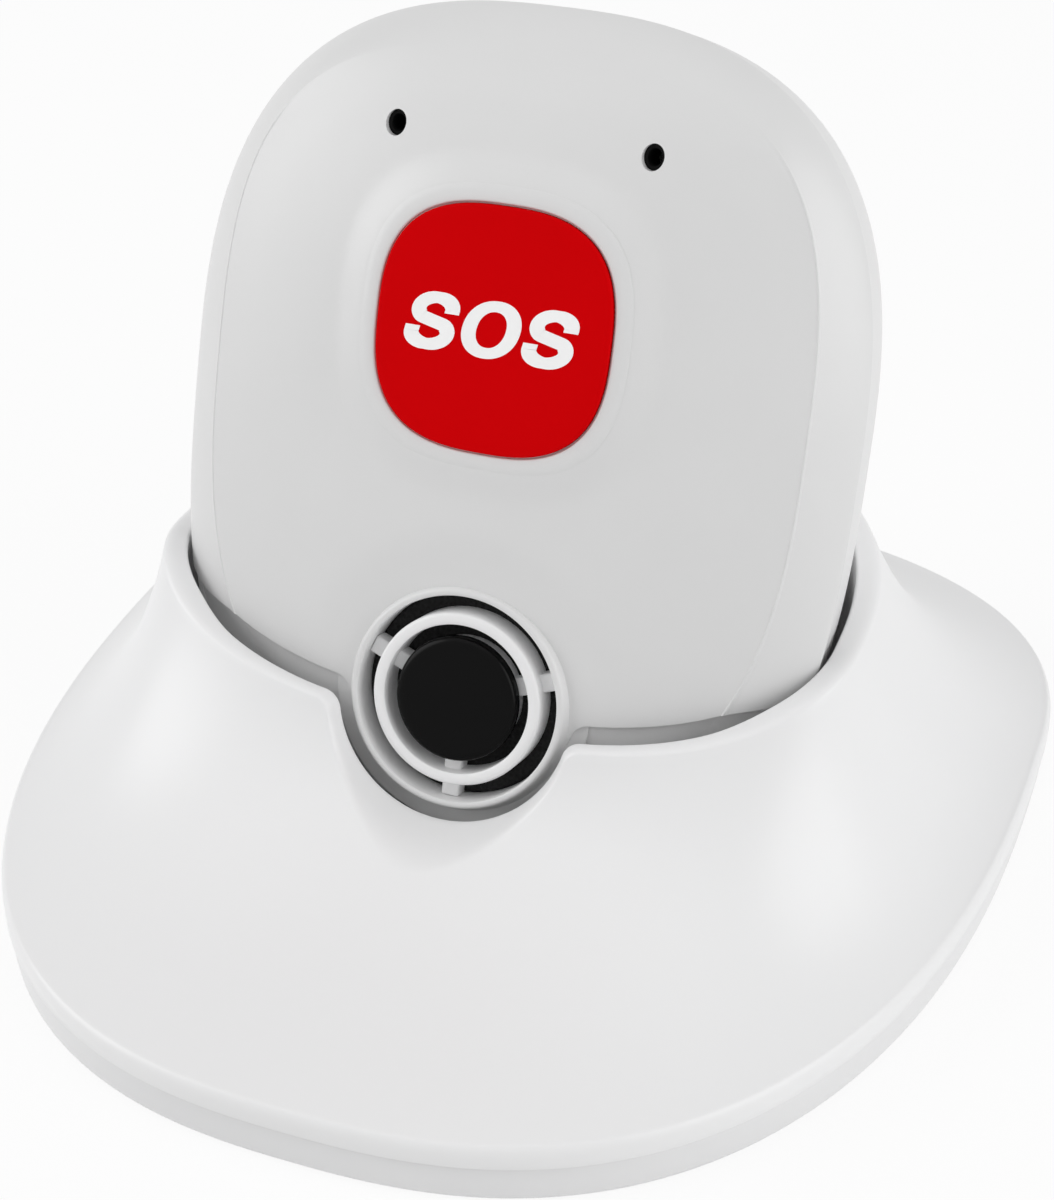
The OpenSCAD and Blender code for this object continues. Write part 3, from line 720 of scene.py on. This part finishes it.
def button_prism(offset, y0, y1):
    def point(turn, row):
        x, z = button_edge(turn, row[0])
        return Vector((x if row[2] else 0, row[1], z if row[2] else BUTTON_Z))
    return wrapped([(offset, y0, 0), (offset, y0, 1), (offset, y1, 1), (offset, y1, 0)],
                   even_turns(128, BUTTON_E), point)


def port_shape(bm):
    """Stretches a round port to its upright oval."""
    for at in PORT_AT:
        near = [v for v in bm.verts if abs(v.co.x - at[0]) < 3]
        bmesh.ops.scale(bm, vec=(0.95, 1, 1.12), verts=near, space=Matrix.Translation((-at[0], 0, -at[1])))
    return bm


ports = [port_shape(rod(PORT_R, -5, 6, at)) for at in PORT_AT]
make(front_case(0, CASE_WALL), "pendant_face", "pendant", "pendant_grey", LEANING, ["pendant_front_case"],
     [rod(BEZEL_CUT_R, -5, 5, count=128), button_prism(0.6, -5, 5), part_across(-20, 0)] + ports)
# Foot of the front case: the step above it throws a narrow shade along the collar.
make(front_case(STEP_IN, CASE_WALL), "pendant_foot", "pendant", "pendant_grey", LEANING, (),
     [rod(BEZEL_CUT_R, -5, 5, count=128), part_across(60, 0.05)])

# Ports: black tubes that end just under the face.
tubes = []
for x, z in PORT_AT:
    front_y = swell(x, z, dome(6.2)) + 0.12
    outer = PORT_R - 0.01
    tube = turned([(0.5, front_y + 0.1), (0.56, front_y), (outer, front_y), (outer, 3.4), (0.5, 3.4)], 48)
    bmesh.ops.translate(tube, verts=tube.verts, vec=(x, 0, z))
    tubes.append(tube)
port_tubes = make(port_shape(joined(tubes)), "port_tubes", "pendant", "black_plastic", LEANING, ["port_sleeves"])
port_tubes.data.materials[0] = port_rubber

# Rounded edge of the opening round the button. A small step keeps the gap beside the cap shallow.
OPENING_ROWS = [(-0.04, 0.6), (-0.04, -1.08), (0.06, -1.1), (0.06, -1.22), (0.08, -1.3), (0.13, -1.35), (0.22, -1.37),
                (0.5, -1.36), (0.8, -1.33), (1.05, -1.28), (1.25, -1.2), (1.25, 0.6), (-0.04, 0.6)]
BUTTON_TURNS = even_turns(160, BUTTON_E)


def button_point(turn, row):
    x, z = button_edge(turn, row[0])
    return Vector((x, row[1], z))


make(wrapped(OPENING_ROWS, BUTTON_TURNS, button_point), "button_opening", "pendant", "pendant_grey", LEANING)

# Bezel round the grille: a narrow flat rim and a shoulder that runs in under the face.
bezel_profile = [(BEZEL_R, 2.1), (BEZEL_R, -0.38), (BEZEL_R + 0.05, -0.5), (BEZEL_R + 0.14, -0.55),
                 (BEZEL_R + 0.32, -0.55), (BEZEL_R + 0.44, -0.52), (BEZEL_R + 0.53, -0.42), (BEZEL_R + 0.62, -0.2),
                 (BEZEL_R + 0.78, 0.5), (BEZEL_R + 0.98, 0.72), (BEZEL_R + 2.1, 0.8), (BEZEL_R + 2.1, 2.1)]
make(turned(bezel_profile, 128), "grille_bezel", "pendant", "pendant_grey", LEANING)

# Back of the pendant: from the middle of its outside over the seam, with its fine groove, to the middle of its inside.
EDGE_E = (RISE_E, DROP_E)
back_rows = [(d, BACK_Y, rear_e(1)) for d in steps(HALF_W, SEAM_STEP + REAR_ROUND, 6)[:-1]]
for f in [1 - (k / 34) ** 1.9 for k in range(33)] + [0.08, 0.03]:
    back_rows.append((SEAM_STEP + rear_inset(f), mix(PARTING_Y, BACK_Y, f), rear_e(f)))
back_rows += [(SEAM_STEP, PARTING_Y + 0.2, EDGE_E), (SEAM_STEP + 0.06, PARTING_Y + 0.14, EDGE_E),
              (SEAM_STEP + 0.3, PARTING_Y + 0.06, EDGE_E), (SEAM_STEP + 0.3, PARTING_Y, EDGE_E),
              (SEAM_STEP + 1.2, PARTING_Y, EDGE_E)]
back_rows += [(CASE_WALL + rear_inset(f), mix(PARTING_Y, BACK_Y - CASE_WALL, f), rear_e(f))
              for f in (0, 0.3, 0.55, 0.75, 0.9)]
back_rows += [(d, BACK_Y - CASE_WALL, rear_e(1)) for d in steps(CASE_WALL + REAR_ROUND, HALF_W, 4)]
make(wrapped(back_rows, PENDANT_TURNS, case_point), "pendant_back", "pendant", "pendant_grey", LEANING,
     ["pendant_rear_case"],
     [rod(SCREW_WELL_R, SCREW_SEAT, BACK_Y + 2, at) for at in CASE_SCREW_AT]
     + [rod(PAD_HOLE_R, BACK_Y - 0.6, BACK_Y + 1, at) for at in PAD_AT])

# Bosses of the case screws: behind the board one with the seat of the head, before it the one that the screw bites in.
bosses = []
for x, z in CASE_SCREW_AT:
    rear = turned([(SCREW_HOLE_R, SCREW_SEAT), (SCREW_WELL_R, SCREW_SEAT), (SCREW_WELL_R, BACK_Y - 0.9),
                   (BOSS_R, BACK_Y - 0.9), (BOSS_R, BOARD_BACK), (SCREW_HOLE_R, BOARD_BACK)], 48)
    front = turned([(BITE_R, BOARD_FRONT), (BITE_R, 4.0), (0, 3.6), (0, 1.6), (BITE_BOSS_R, 1.6),
                    (BITE_BOSS_R, BOARD_FRONT - 0.2), (BITE_BOSS_R - 0.2, BOARD_FRONT)], 48)
    for boss in (rear, front):
        bmesh.ops.translate(boss, verts=boss.verts, vec=(x, 0, z))
        bosses.append(boss)
make(joined(bosses), "screw_bosses", "pendant", "pendant_grey", LEANING)

# Call button: a flat cap with rounded edges, its skirt and its foot.
CAP_SIDE = -0.06
cap_rows = [(-BUTTON_W / 2, BUTTON_TOP), (-5.0, BUTTON_TOP), (-2.0, BUTTON_TOP + 0.005), (-0.9, BUTTON_TOP + 0.03)]
cap_rows += [(CAP_SIDE - 0.2 * (1 - math.sin(t)), BUTTON_TOP + 0.05 + 0.16 * (1 - math.cos(t)))
             for t in steps(0, QUARTER, 6)]
cap_rows += [(CAP_SIDE, 2.0), (1.15, 2.0), (1.15, 2.85), (-6.4, 2.85), (-6.4, 4.5), (-BUTTON_W / 2, 4.5)]
make(wrapped(cap_rows, BUTTON_TURNS, button_point), "call_button", "button", "red_plastic", LEANING,
     ["sos_button"])

# Plain slanted capitals, printed on the cap: each stroke has a front, a back and two sides.
LETTER_HALF = 1.98
LETTER_PITCH = 4.25
SLANT = 0.2
THIN, THICK = 0.74, 1.04
FRONT_Y, INK_Y = BUTTON_TOP - 0.03, BUTTON_TOP + 0.04


def slanted(x, z):
    return Vector((x + SLANT * z, 0, BUTTON_Z + 0.1 + z))


def letter_s(middle):
    """Spine of two bowls and the slope between them; the stroke is thicker where it runs upright."""
    tall = (LETTER_HALF - THIN / 2) / 2
    spine = [(1.2, 0.62)]
    spine += [(1.2 * math.cos(t), tall + tall * math.sin(t)) for t in steps(math.radians(4), math.radians(232), 30)]
    spine += [(1.29 * math.cos(t), -tall + tall * math.sin(t)) for t in steps(math.radians(52), math.radians(-176), 30)]
    spine.append((-1.28, -0.46))
    bm = bmesh.new()
    bmesh.ops.create_grid(bm, x_segments=len(spine) - 1, y_segments=4, size=0.5)
    sides = [(0.5, FRONT_Y), (-0.5, FRONT_Y), (-0.5, INK_Y), (0.5, INK_Y), (0.5, FRONT_Y)]
    for v in bm.verts:
        k = round((v.co.x + 0.5) * (len(spine) - 1))
        across, depth = sides[round((v.co.y + 0.5) * 4)]
        before, after = spine[max(0, k - 1)], spine[min(len(spine) - 1, k + 1)]
        way = Vector((after[0] - before[0], after[1] - before[1])).normalized()
        if k in (0, len(spine) - 1):
            way = Vector((0, 1))
        wide = across * mix(THIN, THICK, abs(way.y) ** 0.7)
        v.co = slanted(spine[k][0] - way.y * wide, spine[k][1] + way.x * wide) + Vector((middle, depth, 0))
    bmesh.ops.remove_doubles(bm, verts=bm.verts, dist=0.0005)
    bmesh.ops.holes_fill(bm, edges=bm.edges, sides=4)
    bmesh.ops.recalc_face_normals(bm, faces=bm.faces)
    return bm


def letter_o(middle):
    """Ring between two rounded outlines."""
    def point(turn, row):
        wide, tall, e, depth = row
        across, up = wide * spow(math.sin(turn), 2 / e), tall * spow(math.cos(turn), 2 / e)
        return slanted(across, up) + Vector((middle, depth, 0))
    outer, inner = (2.06, LETTER_HALF, 2.15), (1.04, LETTER_HALF - THIN, 2.15)
    return wrapped([(*outer, FRONT_Y), (*inner, FRONT_Y), (*inner, INK_Y), (*outer, INK_Y), (*outer, FRONT_Y)],
                   even_turns(72, 2.1), point)


lettering = joined([letter_s(-LETTER_PITCH), letter_o(0.0), letter_s(LETTER_PITCH)])
print_piece = make(lettering, "call_lettering", "button", "white_matte", LEANING, smooth=30)
print_piece.data.materials[0] = white_ink

# Grille: a rounded hoop on three low spokes, and a bare domed disc in the middle.
hoop_profile = [(0.861 * RING_R, 1.9), (0.861 * RING_R, GRILLE_TOP + 0.2), (0.866 * RING_R, GRILLE_TOP + 0.08),
                (0.885 * RING_R, GRILLE_TOP), (0.97 * RING_R, GRILLE_TOP), (0.99 * RING_R, GRILLE_TOP + 0.06),
                (RING_R, GRILLE_TOP + 0.18), (RING_R, 1.9)]
spokes = []
for angle in (20, 160, 270):
    spoke = rounded(block((DISC_R - 0.6, 0.5, -0.65), (BEZEL_R - 0.03, 1.9, 0.65)), 0.15)
    bmesh.ops.rotate(spoke, verts=spoke.verts, matrix=Matrix.Rotation(-math.radians(angle), 3, "Y"))
    spokes.append(spoke)
hub = turned([(0, 0.35), (DISC_R - 0.35, 0.35), (DISC_R - 0.3, 0.4), (DISC_R - 0.3, 1.9), (0, 1.9)])
make(joined([turned(hoop_profile, 128), hub] + spokes), "grille_hoop", "pendant", "white_gloss", LEANING,
     ["grille_ring"])
disc_profile = [(r, GRILLE_TOP - 0.25 + 0.15 * (r / 4.0) ** 2) for r in steps(0, 4.0, 10)]
disc_profile += [(4.2, GRILLE_TOP - 0.06), (4.36, GRILLE_TOP + 0.02), (4.46, GRILLE_TOP + 0.14),
                 (DISC_R, GRILLE_TOP + 0.28), (DISC_R, 0.35), (0, 0.35)]
make(turned(disc_profile, 128), "grille_disc_domed", "pendant", "black_gloss", LEANING, ["grille_disc"])


# Cradle

SHELL_ROWS = [("floor", r) for r in steps(0, 1, 8)] + [("pocket", v) for v in steps(0, 1, 18)[1:]]
SHELL_ROWS += [("lip", f) for f in steps(0, 1, 16)[1:]] + [("sweep", f) for f in steps(0, 1, 44)[1:]]
SHELL_ROWS += [("edge", t) for t in steps(0, QUARTER, 7)[1:]]
SHELL_ROWS += [("seam", (0.0, SEAM_Z + 0.12)), ("seam", (0.04, SEAM_Z + 0.03)), ("seam", (0.15, SEAM_Z)),
               ("seam", (SHELL_WALL + 0.25, SEAM_Z))]
SHELL_ROWS += [("under", f) for f in (0.8, 0.65, 0.5, 0.35)] + [("outside", v) for v in (1, 0.7, 0.4, 0.15)]
SHELL_ROWS += [("below", r) for r in steps(1, 0, 5)]


def shell_point(turn, row):
    kind, value = row
    if kind == "floor":
        return floor_point(turn, value, 0, 0)
    if kind == "pocket":
        return pocket_point(turn, value, 0, 0, LIP_ROUND)
    if kind == "lip":
        return lip_point(turn, value)
    if kind == "sweep":
        return sweep_point(turn, value, 0)
    if kind == "edge":
        return base_edge(turn, 0.5 * (1 - math.sin(value)), EDGE_Z - (1 - math.cos(value)))
    if kind == "seam":
        return base_edge(turn, *value)
    if kind == "under":
        return sweep_point(turn, value, SHELL_WALL)
    if kind == "outside":
        return pocket_point(turn, value, POCKET_WALL, POCKET_FLOOR, 4.2)
    return floor_point(turn, value, POCKET_WALL, POCKET_FLOOR)


pin_holes = []
for at in PAD_AT:
    hole = rod(PIN_HOLE_R, BACK_Y, BACK_Y + 4.6, at)
    bmesh.ops.transform(hole, matrix=LEANING, verts=hole.verts)
    pin_holes.append(hole)
make(wrapped(SHELL_ROWS, CRADLE_TURNS, shell_point), "cradle_shell", "cradle", "white_gloss", Matrix(),
     ["cradle_top_shell"], pin_holes)

BASE_SCREW_AT = [Vector((side * x, y, 0)) for x, y in ((28.757, -12.038), (28.504, 19.266)) for side in (1, -1)]
FEET = [base_edge(math.radians(t), 9, 0) for t in (28, 332, 150, 210)]
PLATE_ROWS = [(0, SHELL_WALL + 0.5, FLOOR_Z1), (1, SHELL_WALL + 0.5, FLOOR_Z1), (1, SHELL_WALL + 0.25, SEAM_Z),
              (1, 0.42, SEAM_Z), (1, 0.33, SEAM_Z - 0.03), (1, 0.3, SEAM_Z - 0.12), (1, 0.25, FLOOR_Z0 + 0.42),
              (1, 0.27, FLOOR_Z0 + 0.25), (1, 0.35, FLOOR_Z0 + 0.09), (1, 0.5, FLOOR_Z0), (1, 3.0, FLOOR_Z0),
              (0, 3.0, FLOOR_Z0)]


def plate_point(turn, row):
    share, inset, z = row
    return Vector((0, BASE_MID, z)) if share == 0 else base_edge(turn, inset, z)


make(wrapped(PLATE_ROWS, CRADLE_TURNS, plate_point), "cradle_foot", "cradle", "white_matte", Matrix(),
     ["cradle_base_plate"],
     [block((-WELL_W / 2, WELL_Y, -1), (WELL_W / 2, WELL_Y + BASE_REAR, 8))]
     + [post(2.3, -1, FLOOR_Z0 + 0.8, p) for p in BASE_SCREW_AT] + [post(4, -1, FLOOR_Z0 + 0.5, p) for p in FEET])

# Inside the cradle: two posts that carry the charger board, and the side walls of the plug well.
stands = [post(2, FLOOR_Z1 - 0.1, CHARGER_Z, at) for at in STAND_AT]
for left in (-WELL_W / 2 - WELL_WALL, WELL_W / 2):
    stands.append(block((left, WELL_Y, FLOOR_Z1 - 0.1), (left + WELL_WALL, WELL_Y + 9, 3.7)))
make(joined([rounded(stand, 0.12) for stand in stands]), "base_stands", "cradle", "white_matte", Matrix())


def pan_screw(head_r, head_h, shank_r, length):
    """Pan head on its shank, along +y; the head's top is at y = 0."""
    return turned([(0, 0), (head_r * 0.7, 0.03), (head_r * 0.93, 0.14), (head_r, 0.32), (head_r, head_h),
                   (shank_r, head_h), (shank_r, length - 0.3), (shank_r - 0.3, length), (0, length)], 40)


def cross_recess(head_r, depth):
    """Two crossed slots for the driver, as cutters."""
    long, thin = 0.58 * head_r, 0.1 * head_r
    return [block((-long, -0.3, -thin), (long, depth, thin)), block((-thin, -0.31, -long), (thin, depth + 0.01, long))]


def screw_set(name, node_name, body, places, head_r, head_h, shank_r, length):
    """Screws at several places, each with its cross recess."""
    screws, recesses = [], []
    for k, place in enumerate(places):
        turn = place @ Matrix.Rotation(0.4 + 1.1 * k, 4, "Y")
        screw = pan_screw(head_r, head_h, shank_r, length)
        bmesh.ops.transform(screw, matrix=turn, verts=screw.verts)
        screws.append(screw)
        for wing in cross_recess(head_r, 0.6 * head_h):
            bmesh.ops.transform(wing, matrix=turn, verts=wing.verts)
            recesses.append(wing)
    make(joined(screws), name, body, "steel", Matrix(), [node_name], recesses)


# The base screws point up, and the case screws run from the back of the pendant towards its front.
screw_set("base_cross_screws", "base_screws", "cradle",
          [Matrix.Translation((p.x, p.y, FLOOR_Z0 + 0.1)) @ Matrix.Rotation(QUARTER, 4, "X") for p in BASE_SCREW_AT],
          head_r=2.1, head_h=0.7, shank_r=0.9, length=4.3)
screw_set("case_cross_screws", "case_screws", "pendant",
          [LEANING @ Matrix.Translation((x, SCREW_SEAT + 1.3, z)) @ Matrix.Rotation(math.pi, 4, "Z")
           for x, z in CASE_SCREW_AT], head_r=1.8, head_h=1.3, shank_r=0.9, length=10.2)


def foot_pad(at):
    """Round rubber foot with a soft edge."""
    pad = turned([(0, 0.8), (3.9, 0.8), (3.9, 0.3), (3.78, 0.1), (3.5, 0), (2.6, 0), (2.3, 0.12), (0, 0.12)], 56)
    place = Matrix.Translation((at.x, at.y, 0)) @ Matrix.Rotation(QUARTER, 4, "X")
    bmesh.ops.transform(pad, matrix=place, verts=pad.verts)
    return pad


make(joined([foot_pad(at) for at in FEET]), "rubber_foot_pads", "cradle", "rubber", Matrix(), ["rubber_feet"])

# Every solid gets its finish, also those that a piece above stands for.
SOLID_FINISH = {
    "cradle_top_shell": polished_abs, "cradle_base_plate": plain_abs, "rubber_feet": black_rubber,
    "base_screws": zinc_steel, "charger_board": green_mask, "dc_jack_housing": black_nylon,
    "dc_jack_pin": zinc_steel, "contact_carrier": plain_abs, "contact_board": green_mask,
    "contact_springs": zinc_steel, "contact_pin_left": gold_plate, "contact_pin_right": gold_plate,
    "pendant_front_case": satin_abs, "pendant_rear_case": satin_abs, "case_seal": black_rubber,
    "case_screws": zinc_steel, "sos_button": red_abs, "switch_housing": black_nylon,
    "switch_plunger": black_nylon, "pendant_board": green_mask, "shield_can": tinned_sheet,
    "battery_cell": blue_sleeve, "speaker_basket": black_nylon, "speaker_cone": paper,
    "speaker_magnet": nickel_plate, "speaker_mesh": speaker_cloth, "grille_ring": polished_abs,
    "grille_disc": black_gloss, "port_sleeves": port_rubber, "microphone_boot": black_rubber,
    "microphone_capsule": tinned_sheet, "indicator_lamp": acrylic, "pendant_contacts": gold_plate,
}
for name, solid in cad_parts.items():
    solid.data.materials.clear()
    solid.data.materials.append(SOLID_FINISH[name])


# Stage

def seen_rays(tree):
    """1 for rays that show the surroundings to the camera, straight, mirrored or through something clear."""
    rays = node(tree, "ShaderNodeLightPath").outputs
    seen = rays["Is Camera Ray"]
    for kind in ("Is Glossy Ray", "Is Transmission Ray"):
        seen = node(tree, "ShaderNodeMath", links={0: seen, 1: rays[kind]}, operation="MAXIMUM").outputs[0]
    return seen


# Matt white paper: pale and even, and it keeps a trace of the object's shadow.
floor_finish, tree = new_tree("paper_white_backdrop")
seen = seen_rays(tree)
share = node(tree, "ShaderNodeMath", {1: 0.9}, {0: seen}, operation="MULTIPLY")
matt = node(tree, "ShaderNodeBsdfDiffuse", {"Color": linear("#F4F4F4")})
glow = node(tree, "ShaderNodeEmission", {"Color": (1, 1, 1, 1), "Strength": 1.0})
both = node(tree, "ShaderNodeMixShader", links={0: share.outputs[0], 1: matt.outputs[0], 2: glow.outputs[0]})
node(tree, "ShaderNodeOutputMaterial", links={"Surface": both.outputs[0]})
ground = bmesh.new()
bmesh.ops.create_grid(ground, x_segments=2, y_segments=2, size=2.0)
ground_mesh = bpy.data.meshes.new("table")
ground.to_mesh(ground_mesh)
ground.free()
table = bpy.data.objects.new("table", ground_mesh)
bpy.context.scene.collection.objects.link(table)
table.data.materials.append(floor_finish)

world = bpy.data.worlds.new("light_tent")
bpy.context.scene.world = world
world.use_nodes = True
tree = world.node_tree
tree.nodes.clear()
seen = seen_rays(tree)
level = node(tree, "ShaderNodeMapRange", {"To Min": 0.42, "To Max": 1.0}, {"Value": seen})
sky = node(tree, "ShaderNodeBackground", {"Color": (1, 1, 1, 1)}, {"Strength": level.outputs["Result"]})
node(tree, "ShaderNodeOutputWorld", links={"Surface": sky.outputs[0]})

LAMP_AIM = Vector((0, 0, 0.02))


def softbox(name, at, size, watts):
    """A round lamp aimed at the object."""
    lamp = bpy.data.lights.new(name, "AREA")
    lamp.shape = "DISK"
    lamp.size = size
    lamp.energy = watts
    box = bpy.data.objects.new(name, lamp)
    box.location = at
    box.rotation_euler = (LAMP_AIM - Vector(at)).to_track_quat("-Z", "Y").to_euler()
    bpy.context.scene.collection.objects.link(box)


softbox("softbox_top", (-0.1, -0.1, 0.75), 0.9, 0.7)
softbox("softbox_left", (-0.7, -0.3, 0.4), 0.7, 3.1)
softbox("softbox_right", (0.72, -0.1, 0.35), 0.8, 3.2)

# Camera at the photograph's angle: azimuth 20.4 degrees to the right, 32.4 degrees up.
azimuth, elevation = math.radians(20.444), math.radians(32.448)
CAMERA_AT = (0.05103, -0.1346, 0.11017)
FOCAL_PX, PHOTO_H_PX = 2300, 1200
lens = bpy.data.cameras.new("camera")
lens.sensor_fit = "VERTICAL"
lens.sensor_height = 36
lens.lens = lens.sensor_height * FOCAL_PX / PHOTO_H_PX
lens.clip_start = 0.01
camera = bpy.data.objects.new("camera", lens)
bpy.context.scene.collection.objects.link(camera)
flat = math.cos(elevation)
back = Vector((math.sin(azimuth) * flat, -math.cos(azimuth) * flat, math.sin(elevation)))
right = Vector((math.cos(azimuth), math.sin(azimuth), 0))
facing = Matrix((right, back.cross(right), back)).transposed().to_4x4()
camera.matrix_world = Matrix.Translation(CAMERA_AT) @ facing
bpy.context.scene.camera = camera
bpy.context.scene.view_settings.view_transform = "Standard"
